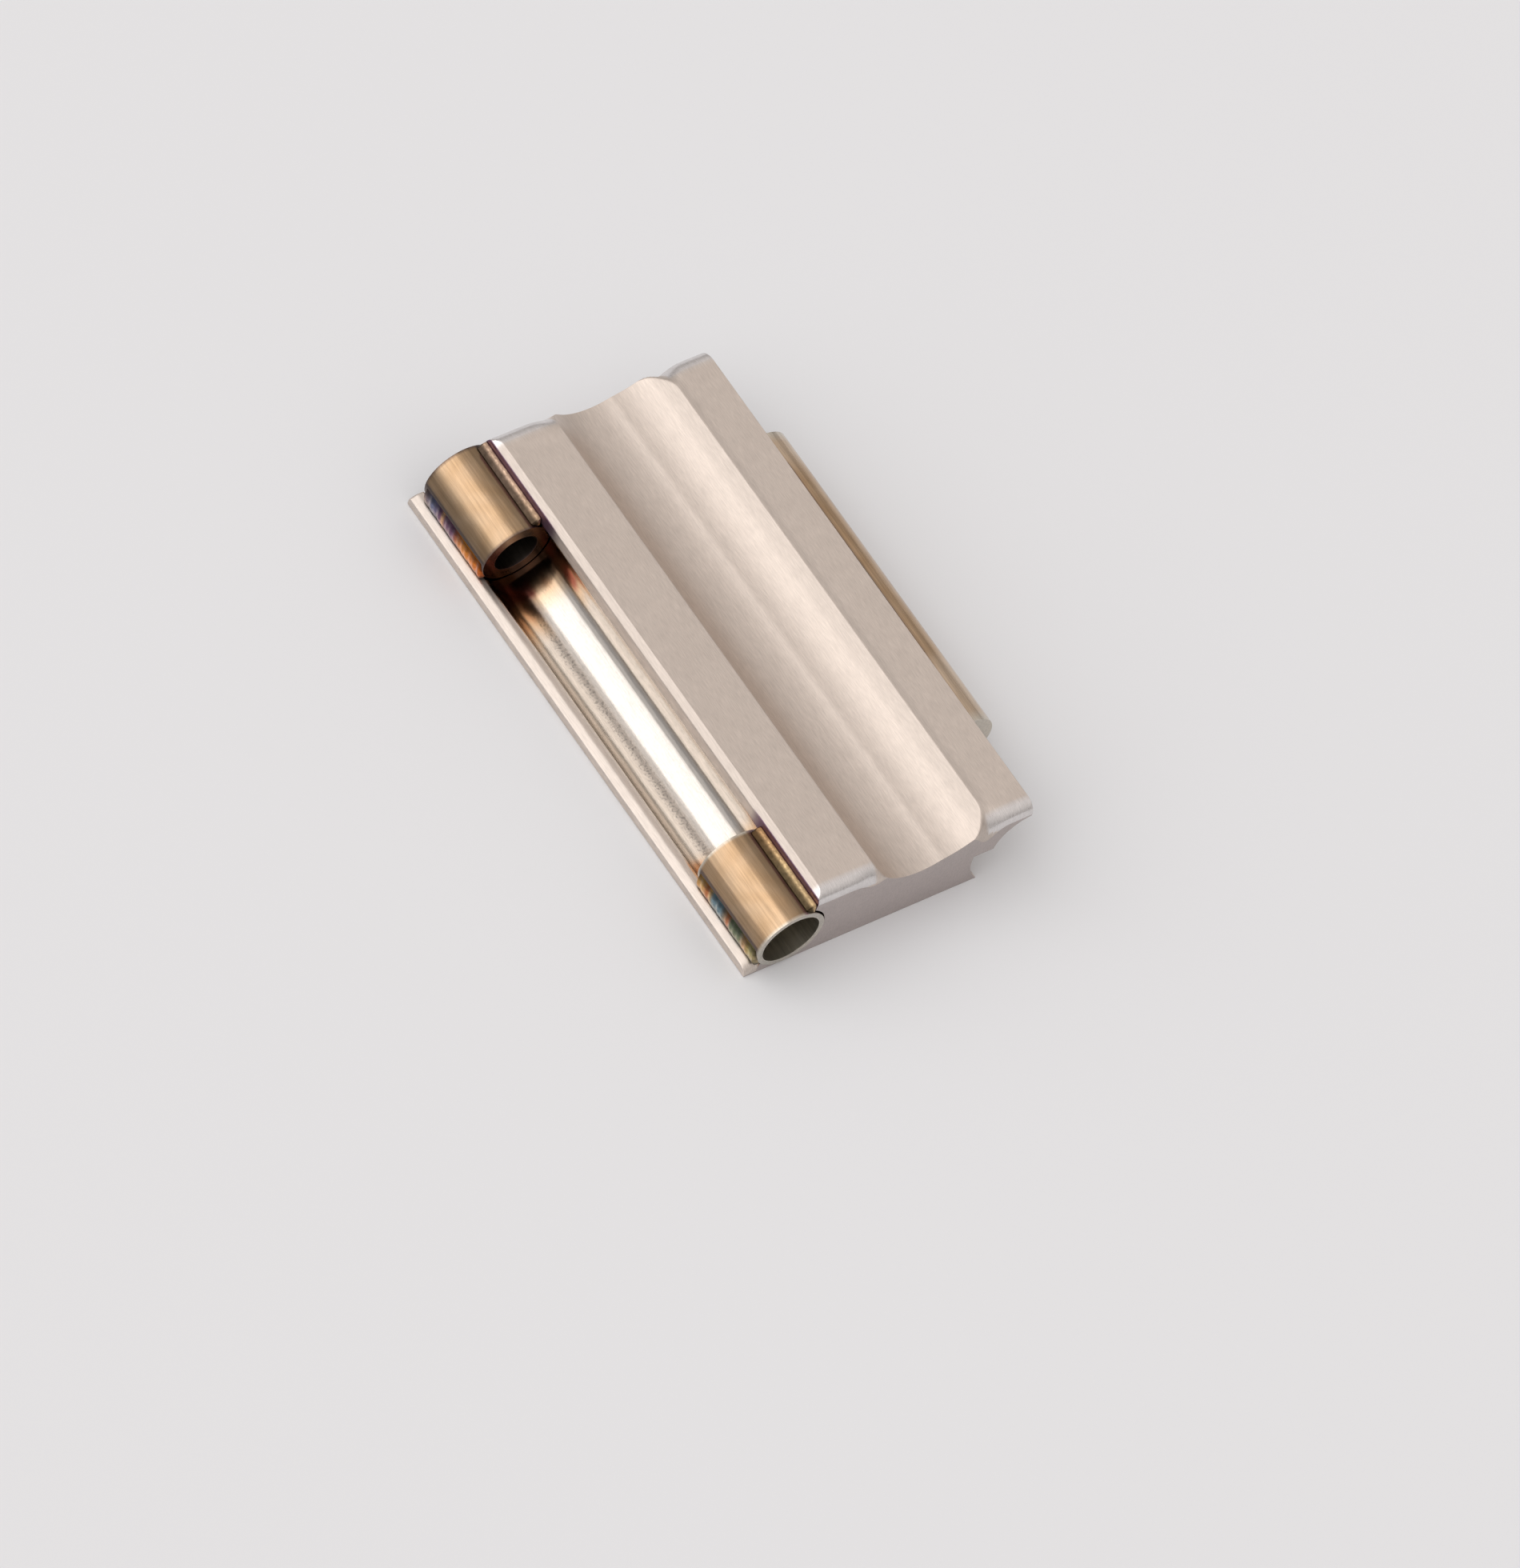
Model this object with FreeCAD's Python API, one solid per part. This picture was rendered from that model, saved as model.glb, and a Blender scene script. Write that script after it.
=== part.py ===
"""One leaf of a small welded knuckle hinge: a milled body, three thin tubes and the beads that hold them.

Lengths are millimetres. The leaf lies flat: X runs across it from the lip to the tip, Y runs along the
knuckle axes with the front at -Y, and Z is up. The cross-section is drawn with x = 0 on the lip's outer
face, y = 0 on the front end face and z = 0 on the underside. placed() then moves every piece so that the
origin sits under the middle of the finished leaf.
"""
import math
import os

import FreeCAD
import Part

# --- driving dimensions: the body ---
BODY_LENGTH = 19.55        # between the two end faces
BODY_WIDTH = 10.55         # lip's outer face to the tip
BODY_THICKNESS = 3.20
LIP_THICKNESS = 0.45       # the thin edge in front of the left knuckle seat
LIP_BEVEL_WIDTH = 0.26     # broken outer edge along the lip's top, across
LIP_BEVEL_HEIGHT = 0.13    # and down
LIP_STUB = 0.35            # how far the lip runs on past the rear end face
LIP_FRONT_RADIUS = 0.38    # round-over of the lip's top edge at the front
LIP_REAR_RADIUS = 0.10     # and at the end of the stub
WALL_X = 2.09              # the upright wall behind the left knuckles
ARRIS_CHAMFER = 0.20       # broken edge along the top of that wall
FRONT_END_RADIUS = 0.45    # round-over of the top edge at the front
REAR_END_RADIUS = 0.60     # and at the rear

# --- driving dimensions: the knuckle tubes ---
TUBE_RADIUS = 1.25
BORE_RADIUS = 0.80
LEFT_AXIS_X = 1.40
RIGHT_AXIS_X = 10.70
AXIS_Z = 1.40
SEAT_RADIUS = 1.30         # the milled groove that a tube is laid in
LEDGE_Z = 1.50             # step between the right seat and its swing clearance
SWING_RADIUS = 2.08        # room for the next leaf's lip
SHORT_TUBE_LENGTH = 3.50
TUBE_PROUD = 0.07          # a short tube stands this far out of the end face
CENTRE_TUBE_START = 3.85
CENTRE_TUBE_LENGTH = 12.23
HEAD_RECESS_RADIUS = 1.06  # counterbore in the front tube for the pin's head
HEAD_RECESS_DEPTH = 1.00

# --- driving dimensions: the flute along the top, cut in two passes ---
FLUTE_PASSES = (           # cutter radius, centre across the leaf, depth
    (2.20, 6.30, 1.08),
    (3.00, 6.66, 0.95),
)

# --- driving dimensions: the weld beads ---
SHORT_BEAD_INSET = 0.04    # a bead stops this far short of its tube's ends
CENTRE_BEAD_START = 6.65
CENTRE_BEAD_LENGTH = 8.25
LIP_BEAD_FOOT = 0.22       # how far a bead spreads over the lip from the seat's edge
LIP_BEAD_ANGLE = 184.0     # where it ends on the tube, degrees from +X about the tube's axis
WALL_BEAD_FOOT = 0.28      # height of a bead up the wall from the seat's edge
WALL_BEAD_ANGLE = 74.0
TIP_BEAD_FOOT = 0.25       # height of the upper centre bead up the tip's end
TIP_BEAD_ANGLE = 80.0
LEDGE_BEAD_FOOT = 0.35     # width of the lower centre bead along the ledge
LEDGE_BEAD_ANGLE = 195.0
LIP_BEAD_CROWN = 0.08      # how far the face of a bead along the lip bulges
BEAD_CROWN = 0.04          # and of every other bead

CUTTER_OVERRUN = 1.0       # the flute's cutter runs past each end face by this much


def polar(axis_x, radius, degrees):
    """Point of the section at a radius and angle about a knuckle axis."""
    angle = math.radians(degrees)
    return (axis_x + radius * math.cos(angle), AXIS_Z + radius * math.sin(angle))


def at(point, y):
    return FreeCAD.Vector(point[0], y, point[1])


def line(start, end, y):
    return Part.LineSegment(at(start, y), at(end, y)).toShape()


def arc(start, middle, end, y):
    return Part.Arc(at(start, y), at(middle, y), at(end, y)).toShape()


def axis_arc(axis_x, radius, first, last, y):
    """Arc about a knuckle axis from one angle to another, in degrees."""
    middle = polar(axis_x, radius, (first + last) / 2)
    return arc(polar(axis_x, radius, first), middle, polar(axis_x, radius, last), y)


def prism(edges, length):
    """Solid made by carrying a closed section along +Y."""
    face = Part.Face(Part.Wire(edges))
    return face.extrude(FreeCAD.Vector(0, length, 0))


def rod(radius, x, z, start, length):
    return Part.makeCylinder(radius, length, FreeCAD.Vector(x, start, z), FreeCAD.Vector(0, 1, 0))


# angles, about their knuckle axes, at which the seats meet the flat faces beside them
LIP_EDGE_ANGLE = 180 + math.degrees(math.asin((AXIS_Z - LIP_THICKNESS) / SEAT_RADIUS))
WALL_EDGE_ANGLE = math.degrees(math.acos((WALL_X - LEFT_AXIS_X) / SEAT_RADIUS))
TIP_EDGE_ANGLE = math.degrees(math.acos((BODY_WIDTH - RIGHT_AXIS_X) / SEAT_RADIUS))
LEDGE_EDGE_ANGLE = 180 - math.degrees(math.asin((LEDGE_Z - AXIS_Z) / SEAT_RADIUS))
LEDGE_OUTER_ANGLE = 180 - math.degrees(math.asin((LEDGE_Z - AXIS_Z) / SWING_RADIUS))
FOOT_ANGLE = 180 + math.degrees(math.asin(AXIS_Z / SWING_RADIUS))


def lip_corners():
    """The lip from the underside up its outer face, over the broken edge and in to the seat."""
    return [
        (0, 0),
        (0, LIP_THICKNESS - LIP_BEVEL_HEIGHT),
        (LIP_BEVEL_WIDTH, LIP_THICKNESS),
        polar(LEFT_AXIS_X, SEAT_RADIUS, LIP_EDGE_ANGLE),
    ]


def path(corners, y):
    """Straight edges from each corner to the next."""
    return [line(start, end, y) for start, end in zip(corners, corners[1:])]


def body_section(y):
    """The leaf's outline seen from the front, before the flute is cut."""
    wall_edge = polar(LEFT_AXIS_X, SEAT_RADIUS, WALL_EDGE_ANGLE)
    tip_edge = polar(RIGHT_AXIS_X, SEAT_RADIUS, TIP_EDGE_ANGLE)
    ledge_inner = polar(RIGHT_AXIS_X, SEAT_RADIUS, LEDGE_EDGE_ANGLE)
    ledge_outer = polar(RIGHT_AXIS_X, SWING_RADIUS, LEDGE_OUTER_ANGLE)
    foot = polar(RIGHT_AXIS_X, SWING_RADIUS, FOOT_ANGLE)
    chamfer_low = (WALL_X, BODY_THICKNESS - ARRIS_CHAMFER)
    chamfer_high = (WALL_X + ARRIS_CHAMFER, BODY_THICKNESS)
    top_right = (BODY_WIDTH, BODY_THICKNESS)
    return [
        *path(lip_corners(), y),
        axis_arc(LEFT_AXIS_X, SEAT_RADIUS, LIP_EDGE_ANGLE, WALL_EDGE_ANGLE + 360, y),
        line(wall_edge, chamfer_low, y),
        line(chamfer_low, chamfer_high, y),
        line(chamfer_high, top_right, y),
        line(top_right, tip_edge, y),
        axis_arc(RIGHT_AXIS_X, SEAT_RADIUS, TIP_EDGE_ANGLE, LEDGE_EDGE_ANGLE, y),
        line(ledge_inner, ledge_outer, y),
        axis_arc(RIGHT_AXIS_X, SWING_RADIUS, LEDGE_OUTER_ANGLE, FOOT_ANGLE, y),
        line(foot, (0, 0), y),
    ]


def end_round_over(radius, top, end_y, inward, x_start, x_end):
    """Cutter that rounds the edge between the level z = top and an end face at y = end_y.

    inward is +1 where the body lies towards +Y from that face and -1 where it lies towards -Y.
    """
    length = x_end - x_start
    low_y = min(end_y, end_y + inward * radius)
    block = Part.makeBox(length, radius, radius, FreeCAD.Vector(x_start, low_y, top - radius))
    kept = Part.makeCylinder(
        radius,
        length,
        FreeCAD.Vector(x_start, end_y + inward * radius, top - radius),
        FreeCAD.Vector(1, 0, 0),
    )
    return block.cut(kept)


def lip_stub():
    """What is left of the lip beyond the rear end face, where the leaf was parted from its bar."""
    corners = lip_corners()
    closing = [(corners[-1][0], 0), corners[0]]
    return prism(path(corners + closing, BODY_LENGTH), LIP_STUB)


def leaf_body():
    """Milled bar: seats along both long edges, a fluted top, rounded ends and the lip's short stub."""
    body = prism(body_section(0), BODY_LENGTH)
    lip_edge_x = polar(LEFT_AXIS_X, SEAT_RADIUS, LIP_EDGE_ANGLE)[0]
    body = body.fuse(lip_stub())
    for radius, end_y, inward in ((FRONT_END_RADIUS, 0, 1), (REAR_END_RADIUS, BODY_LENGTH, -1)):
        body = body.cut(end_round_over(radius, BODY_THICKNESS, end_y, inward, WALL_X, BODY_WIDTH))
    lip_end = BODY_LENGTH + LIP_STUB
    for radius, end_y, inward in ((LIP_FRONT_RADIUS, 0, 1), (LIP_REAR_RADIUS, lip_end, -1)):
        body = body.cut(end_round_over(radius, LIP_THICKNESS, end_y, inward, 0, lip_edge_x))
    for radius, centre_x, depth in FLUTE_PASSES:
        centre_z = BODY_THICKNESS - depth + radius
        run = BODY_LENGTH + 2 * CUTTER_OVERRUN
        body = body.cut(rod(radius, centre_x, centre_z, -CUTTER_OVERRUN, run))
    return body.removeSplitter()


def knuckle_tube(axis_x, start, length):
    """Plain tube with a through bore for the hinge pin."""
    outer = rod(TUBE_RADIUS, axis_x, AXIS_Z, start, length)
    return outer.cut(rod(BORE_RADIUS, axis_x, AXIS_Z, start, length))


def front_knuckle_tube():
    """Short tube whose outer end is counterbored for the pin's head."""
    tube = knuckle_tube(LEFT_AXIS_X, -TUBE_PROUD, SHORT_TUBE_LENGTH)
    return tube.cut(rod(HEAD_RECESS_RADIUS, LEFT_AXIS_X, AXIS_Z, -TUBE_PROUD, HEAD_RECESS_DEPTH))


def crowned_face(start, end, crown, y):
    """A bead's free face: a shallow arc that bulges to the left of the way from start to end."""
    dx, dz = end[0] - start[0], end[1] - start[1]
    span = math.hypot(dx, dz)
    middle = (
        (start[0] + end[0]) / 2 - crown * dz / span,
        (start[1] + end[1]) / 2 + crown * dx / span,
    )
    return arc(start, middle, end, y)


def bead(axis_x, seat_angle, tube_angle, foot, crown, start, length):
    """Fillet weld: along the body from foot to the seat's edge, across the gap, up the tube, and back."""
    seat_edge = polar(axis_x, SEAT_RADIUS, seat_angle)
    tube_low = polar(axis_x, TUBE_RADIUS, seat_angle)
    tube_high = polar(axis_x, TUBE_RADIUS, tube_angle)
    if tube_angle < seat_angle:
        free_face = crowned_face(foot, tube_high, crown, start)
    else:
        free_face = crowned_face(tube_high, foot, crown, start)
    return prism(
        [
            line(foot, seat_edge, start),
            line(seat_edge, tube_low, start),
            axis_arc(axis_x, TUBE_RADIUS, seat_angle, tube_angle, start),
            free_face,
        ],
        length,
    )


def lip_bead(start, length):
    edge_x = polar(LEFT_AXIS_X, SEAT_RADIUS, LIP_EDGE_ANGLE)[0]
    foot = (edge_x - LIP_BEAD_FOOT, LIP_THICKNESS)
    return bead(LEFT_AXIS_X, LIP_EDGE_ANGLE, LIP_BEAD_ANGLE, foot, LIP_BEAD_CROWN, start, length)


def wall_bead(start, length):
    edge_z = polar(LEFT_AXIS_X, SEAT_RADIUS, WALL_EDGE_ANGLE)[1]
    foot = (WALL_X, edge_z + WALL_BEAD_FOOT)
    return bead(LEFT_AXIS_X, WALL_EDGE_ANGLE, WALL_BEAD_ANGLE, foot, BEAD_CROWN, start, length)


def tip_bead(start, length):
    edge_z = polar(RIGHT_AXIS_X, SEAT_RADIUS, TIP_EDGE_ANGLE)[1]
    foot = (BODY_WIDTH, edge_z + TIP_BEAD_FOOT)
    return bead(RIGHT_AXIS_X, TIP_EDGE_ANGLE, TIP_BEAD_ANGLE, foot, BEAD_CROWN, start, length)


def ledge_bead(start, length):
    edge_x = polar(RIGHT_AXIS_X, SEAT_RADIUS, LEDGE_EDGE_ANGLE)[0]
    foot = (edge_x - LEDGE_BEAD_FOOT, LEDGE_Z)
    return bead(RIGHT_AXIS_X, LEDGE_EDGE_ANGLE, LEDGE_BEAD_ANGLE, foot, BEAD_CROWN, start, length)


def placed(shape):
    """Put the origin under the middle of the finished leaf's box."""
    middle_x = (RIGHT_AXIS_X + TUBE_RADIUS) / 2
    middle_y = (BODY_LENGTH + LIP_STUB - TUBE_PROUD) / 2
    return shape.translated(FreeCAD.Vector(-middle_x, -middle_y, 0))


def pieces():
    """Every piece of the leaf by name, in the section's own coordinates."""
    rear_tube_start = BODY_LENGTH + TUBE_PROUD - SHORT_TUBE_LENGTH
    short_bead = SHORT_TUBE_LENGTH - 2 * SHORT_BEAD_INSET
    made = {
        "leaf_body": leaf_body(),
        "front_knuckle_tube": front_knuckle_tube(),
        "rear_knuckle_tube": knuckle_tube(LEFT_AXIS_X, rear_tube_start, SHORT_TUBE_LENGTH),
        "centre_knuckle_tube": knuckle_tube(RIGHT_AXIS_X, CENTRE_TUBE_START, CENTRE_TUBE_LENGTH),
        "centre_weld_upper": tip_bead(CENTRE_BEAD_START, CENTRE_BEAD_LENGTH),
        "centre_weld_lower": ledge_bead(CENTRE_BEAD_START, CENTRE_BEAD_LENGTH),
    }
    for end, tube_start in (("front", -TUBE_PROUD), ("rear", rear_tube_start)):
        made[end + "_weld_outer"] = lip_bead(tube_start + SHORT_BEAD_INSET, short_bead)
        made[end + "_weld_inner"] = wall_bead(tube_start + SHORT_BEAD_INSET, short_bead)
    return made


os.makedirs("parts", exist_ok=True)
for name, shape in pieces().items():
    placed(shape).exportStep("parts/" + name + ".step")
    print(name, "valid", shape.isValid(), "solids", len(shape.Solids), "mm3", round(shape.Volume, 3))
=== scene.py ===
import math

import bpy
import numpy as np
from mathutils import Matrix, Vector


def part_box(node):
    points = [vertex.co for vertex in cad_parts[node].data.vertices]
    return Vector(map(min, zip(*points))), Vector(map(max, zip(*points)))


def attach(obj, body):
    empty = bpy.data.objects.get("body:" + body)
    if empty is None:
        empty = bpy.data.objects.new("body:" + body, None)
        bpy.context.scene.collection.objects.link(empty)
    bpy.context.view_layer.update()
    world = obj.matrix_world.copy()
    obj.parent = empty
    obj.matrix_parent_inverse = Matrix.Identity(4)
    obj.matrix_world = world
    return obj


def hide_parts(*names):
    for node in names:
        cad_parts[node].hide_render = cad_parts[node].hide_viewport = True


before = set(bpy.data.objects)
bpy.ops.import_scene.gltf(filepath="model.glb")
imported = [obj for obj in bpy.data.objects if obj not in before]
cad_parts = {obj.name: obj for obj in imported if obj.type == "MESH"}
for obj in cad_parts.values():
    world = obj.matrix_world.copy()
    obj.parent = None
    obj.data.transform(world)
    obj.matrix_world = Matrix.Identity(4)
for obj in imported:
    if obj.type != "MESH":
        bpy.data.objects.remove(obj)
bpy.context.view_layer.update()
MM = 0.001

# ---------------------------------------------------------------------------------------------------
# The leaf: one milled and brushed stainless bar. Ball-nosed passes cut the two knuckle seats along its
# long edges and the flute in its top; the ends are rounded over, and a stub of the lip is left where
# the bar was parted.
# ---------------------------------------------------------------------------------------------------
LEAF_LOW, LEAF_HIGH = (np.array(corner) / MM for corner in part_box("leaf_body"))
LIP_STUB = 0.35
BODY_LENGTH = LEAF_HIGH[1] - LEAF_LOW[1] - LIP_STUB
BODY_WIDTH = LEAF_HIGH[0] - LEAF_LOW[0]
THICKNESS = LEAF_HIGH[2]
LIP_HEIGHT, LIP_BEVEL, LIP_BEVEL_DROP = 0.45, 0.26, 0.13
LIP_FRONT_RADIUS, LIP_REAR_RADIUS = 0.38, 0.10
WALL_X, ARRIS = 2.09, 0.20
FRONT_RADIUS, REAR_RADIUS = 0.45, 0.60
LEFT_AXIS, RIGHT_AXIS, AXIS_Z = 1.40, 10.70, 1.40
SEAT_RADIUS, SWING_RADIUS, LEDGE_Z = 1.30, 2.08, 1.50
FLUTE_PASSES = ((2.20, 6.30, 1.08), (3.00, 6.66, 0.95))
EDGE_BREAK = 0.035          # worn radius on every long edge
END_BREAK = 0.006           # and round the two flat end faces
CREST = 0.012               # how softly two milled surfaces meet
TIP_THICKNESS = 0.06        # metal left at the right tip where the rear round-over meets the seat
TOP_SAMPLES = 300
RIM_SOFTENING = ((4.41, 0.25, 0.45), (8.85, 0.50, 0.40))   # flute rim across, extra end radius, spread


def from_leaf(x, y, z):
    """Leaf coordinates (lip face, front end face, underside) to row metres, stacked on the last axis."""
    x, y, z = np.broadcast_arrays(x, y, z)
    return np.stack([x + LEAF_LOW[0], y + LEAF_LOW[1], z + LEAF_LOW[2]], axis=-1) * MM


def in_leaf(points):
    """Row metres to leaf coordinates in millimetres, as three arrays."""
    x, y, z = np.moveaxis(np.asarray(points) / MM - LEAF_LOW, -1, 0)
    return x, y, z


def drop_at_end(y, start, end, front_radius, rear_radius):
    """Quarter-circle fall of a rounded-over end: r - sqrt(r^2 - (r - d)^2), d the distance to that end."""
    front = np.clip(front_radius - (y - start), 0, front_radius)
    rear = np.clip(rear_radius - (end - y), 0, rear_radius)
    return (front_radius - np.sqrt(front_radius**2 - front**2)) + (
        rear_radius - np.sqrt(rear_radius**2 - rear**2)
    )


def leaf_top(x, y):
    """Height of the top: the lowest of the rounded-over flat, the wall's chamfer and the flute's arcs.

    The lowest is taken softly, m - c log(sum exp((m - level) / c)), so that crests are slightly worn.
    """
    extra = sum(more * np.exp(-(((x - rim) / spread) ** 2)) for rim, more, spread in RIM_SOFTENING)
    flat = THICKNESS - drop_at_end(y, 0, BODY_LENGTH, FRONT_RADIUS + extra, REAR_RADIUS + extra)
    levels = [np.minimum(flat, THICKNESS - ARRIS + (x - WALL_X))]
    for radius, centre, depth in FLUTE_PASSES:
        reach = np.clip(radius**2 - (x - centre) ** 2, 0, None)
        arc = THICKNESS - depth + radius - np.sqrt(reach)
        levels.append(np.where(np.abs(x - centre) < radius, arc, THICKNESS + 1) + 0 * y)
    lowest = np.minimum.reduce(levels)
    return lowest - CREST * np.log(sum(np.exp(-(level - lowest) / CREST) for level in levels))


def lip_top(x, y):
    """Height of the lip: level, with a broken outer edge, and a quarter-circle fall at its two ends."""
    level = LIP_HEIGHT - drop_at_end(y, 0, BODY_LENGTH + LIP_STUB, LIP_FRONT_RADIUS, LIP_REAR_RADIUS)
    return level - LIP_BEVEL_DROP * np.clip(1 - x / LIP_BEVEL, 0, 1) * level / LIP_HEIGHT


def eased_ring(runs, ease):
    """Joins runs end to end and turns each corner P into P + ease((1-t)^2 a + t^2 b), a and b leaving P.

    The ease is at most 0.6 of the way to the next point of either run, so a short run never folds back.
    """
    t = np.linspace(0, 1, 5)[None, :, None]
    parts = []
    for before, run in zip(runs[-1:] + runs[:-1], runs):
        corner = run[:, :1]
        back = before[:, -2:-1] - corner
        ahead = run[:, 1:2] - corner
        back_room = np.linalg.norm(back, axis=-1, keepdims=True)
        ahead_room = np.linalg.norm(ahead, axis=-1, keepdims=True)
        reach = np.minimum(ease, 0.6 * np.minimum(back_room, ahead_room))
        eased = (1 - t) ** 2 * back / back_room + t**2 * ahead / ahead_room
        parts += [corner + reach * eased, run[:, 1:-1]]
    return np.concatenate(parts, axis=1)


def straight(start, end, count):
    """Run of points from start to end for every row, where start and end are rows of (x, z)."""
    t = np.linspace(0, 1, count)[None, :, None]
    return start[:, None] * (1 - t) + end[:, None] * t


def turned(axis_x, radius, first, last, count, rows):
    """Run of points on a circle about a knuckle axis, the same for every row."""
    angle = np.radians(np.linspace(first, last, count))
    arc = np.stack([axis_x + radius * np.cos(angle), AXIS_Z + radius * np.sin(angle)], axis=-1)
    return np.repeat(arc[None], rows, axis=0)


def leaf_rings(y):
    """The leaf's outline at every y: underside, lip, left seat, wall, fluted top, tip, right seat, ledge."""
    rows = len(y)

    def corner(x, z):
        return np.stack(np.broadcast_arrays(x + 0 * y, z + 0 * y), axis=-1)

    lip_angle = 180 + math.degrees(math.asin((AXIS_Z - LIP_HEIGHT) / SEAT_RADIUS))
    wall_angle = 360 + math.degrees(math.acos((WALL_X - LEFT_AXIS) / SEAT_RADIUS))
    tip_angle = math.degrees(math.acos((BODY_WIDTH - RIGHT_AXIS) / SEAT_RADIUS))
    ledge_angle = 180 - math.degrees(math.asin((LEDGE_Z - AXIS_Z) / SEAT_RADIUS))
    outer_angle = 180 - math.degrees(math.asin((LEDGE_Z - AXIS_Z) / SWING_RADIUS))
    foot_angle = 180 + math.degrees(math.asin(AXIS_Z / SWING_RADIUS))
    seat = turned(LEFT_AXIS, SEAT_RADIUS, lip_angle, wall_angle, 90, rows)
    right_seat = turned(RIGHT_AXIS, SEAT_RADIUS, tip_angle, ledge_angle, 50, rows)
    swing = turned(RIGHT_AXIS, SWING_RADIUS, outer_angle, foot_angle, 30, rows)
    across = np.linspace(WALL_X, BODY_WIDTH, TOP_SAMPLES)[None, :]
    top = np.stack([np.repeat(across, rows, 0), leaf_top(across, y[:, None])], axis=-1)
    lip_x = np.linspace(0, seat[0, 0, 0], 12)[None, :]
    lip_z = lip_top(lip_x, y[:, None])
    lip_z[:, -1] = LIP_HEIGHT
    lip = np.stack([np.repeat(lip_x, rows, 0), lip_z], axis=-1)
    low = corner(0.0, 0.0)
    below_top = leaf_top(right_seat[..., 0], y[:, None]) - TIP_THICKNESS
    right_seat[..., 1] = np.minimum(right_seat[..., 1], below_top)
    runs = [
        straight(low, lip[:, 0], 4),
        lip,
        seat,
        straight(seat[:, -1], top[:, 0], 5),
        top,
        straight(top[:, -1], right_seat[:, 0], 4),
        right_seat,
        straight(right_seat[:, -1], swing[:, 0], 6),
        swing,
        straight(swing[:, -1], low, 24),
    ]
    return eased_ring(runs, EDGE_BREAK)


def drawn_in(rings, y, start, end, reach):
    """Moves each ring inwards along its normal by r - sqrt(r^2 - (r - d)^2) near both ends: a broken edge."""
    along = np.roll(rings, -1, axis=1) - np.roll(rings, 1, axis=1)
    along = along / np.maximum(np.linalg.norm(along, axis=-1, keepdims=True), 1e-9)
    inward = np.stack([along[..., 1], -along[..., 0]], axis=-1)
    return rings + inward * drop_at_end(y, start, end, reach, reach)[:, None, None]


def grid_faces(rows, columns, offset=0):
    """Quads of a grid that closes on itself across its columns."""
    index = np.arange(rows * columns).reshape(rows, columns) + offset
    beside = np.roll(index, -1, axis=1)
    quads = np.stack([index[:-1], beside[:-1], beside[1:], index[1:]], axis=-1)
    return quads.reshape(-1, 4)


def near_ends(start, end, front_radius, rear_radius, step):
    """Stations along Y: quarter-circle spacing over each rounded end, even steps between."""
    turn = 1 - np.cos(np.linspace(0, math.pi / 2, 14))
    tiny = END_BREAK * np.array([0, 0.15, 0.5, 1.0])
    middle = np.arange(start + front_radius, end - rear_radius, step)
    stations = [start + front_radius * turn, end - rear_radius * turn, start + tiny, end - tiny, middle]
    return np.unique(np.round(np.concatenate(stations), 4))


def new_piece(name, points, faces, node):
    """Makes the mesh object with flat end faces, rides it on the root body, and lets it stand for its node."""
    mesh = bpy.data.meshes.new(name)
    mesh.from_pydata(points.reshape(-1, 3).tolist(), [], faces)
    mesh.update()
    sides = np.zeros(len(mesh.polygons), dtype=np.int32)
    mesh.polygons.foreach_get("loop_total", sides)
    mesh.polygons.foreach_set("use_smooth", sides <= 4)
    piece = bpy.data.objects.new(name, mesh)
    bpy.context.scene.collection.objects.link(piece)
    weigh = piece.modifiers.new("even_shading", "WEIGHTED_NORMAL")
    weigh.weight = 100
    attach(piece, "root")
    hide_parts(node)
    return piece


def paint(piece, colour, rough, pitting, end_colour=None, end_rough=0.4):
    """Stores colour, roughness and pitting on every face corner; flat end faces get a finish of their own."""
    mesh = piece.data
    corner_point = np.zeros(len(mesh.loops), dtype=np.int32)
    mesh.loops.foreach_get("vertex_index", corner_point)
    sides = np.zeros(len(mesh.polygons), dtype=np.int32)
    mesh.polygons.foreach_get("loop_total", sides)
    tint_values, satin_values = colour[corner_point], rough[corner_point]
    if end_colour is not None:
        on_end = np.repeat(sides > 4, sides)
        tint_values[on_end], satin_values[on_end] = end_colour, end_rough
    tint = mesh.attributes.new("tint", "FLOAT_COLOR", "CORNER")
    tint.data.foreach_set("color", np.column_stack([tint_values, np.ones(len(tint_values))]).ravel())
    satin = mesh.attributes.new("satin", "FLOAT", "CORNER")
    satin.data.foreach_set("value", np.ascontiguousarray(satin_values, dtype=np.float32))
    pits = mesh.attributes.new("pits", "FLOAT", "CORNER")
    pits.data.foreach_set("value", np.ascontiguousarray(pitting[corner_point], dtype=np.float32))


leaf_y = near_ends(0, BODY_LENGTH, 1.0, 1.1, 0.24)
leaf_loops = drawn_in(leaf_rings(leaf_y), leaf_y, 0, BODY_LENGTH, END_BREAK)
rows, columns = leaf_loops.shape[:2]
leaf_points = from_leaf(leaf_loops[..., 0], leaf_y[:, None], leaf_loops[..., 1]).reshape(-1, 3)
leaf_faces = grid_faces(rows, columns).tolist()
front_cap = np.arange(columns)[::-1]
rear_cap = np.arange(columns) + (rows - 1) * columns
leaf_faces += [front_cap.tolist(), rear_cap.tolist()]

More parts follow.
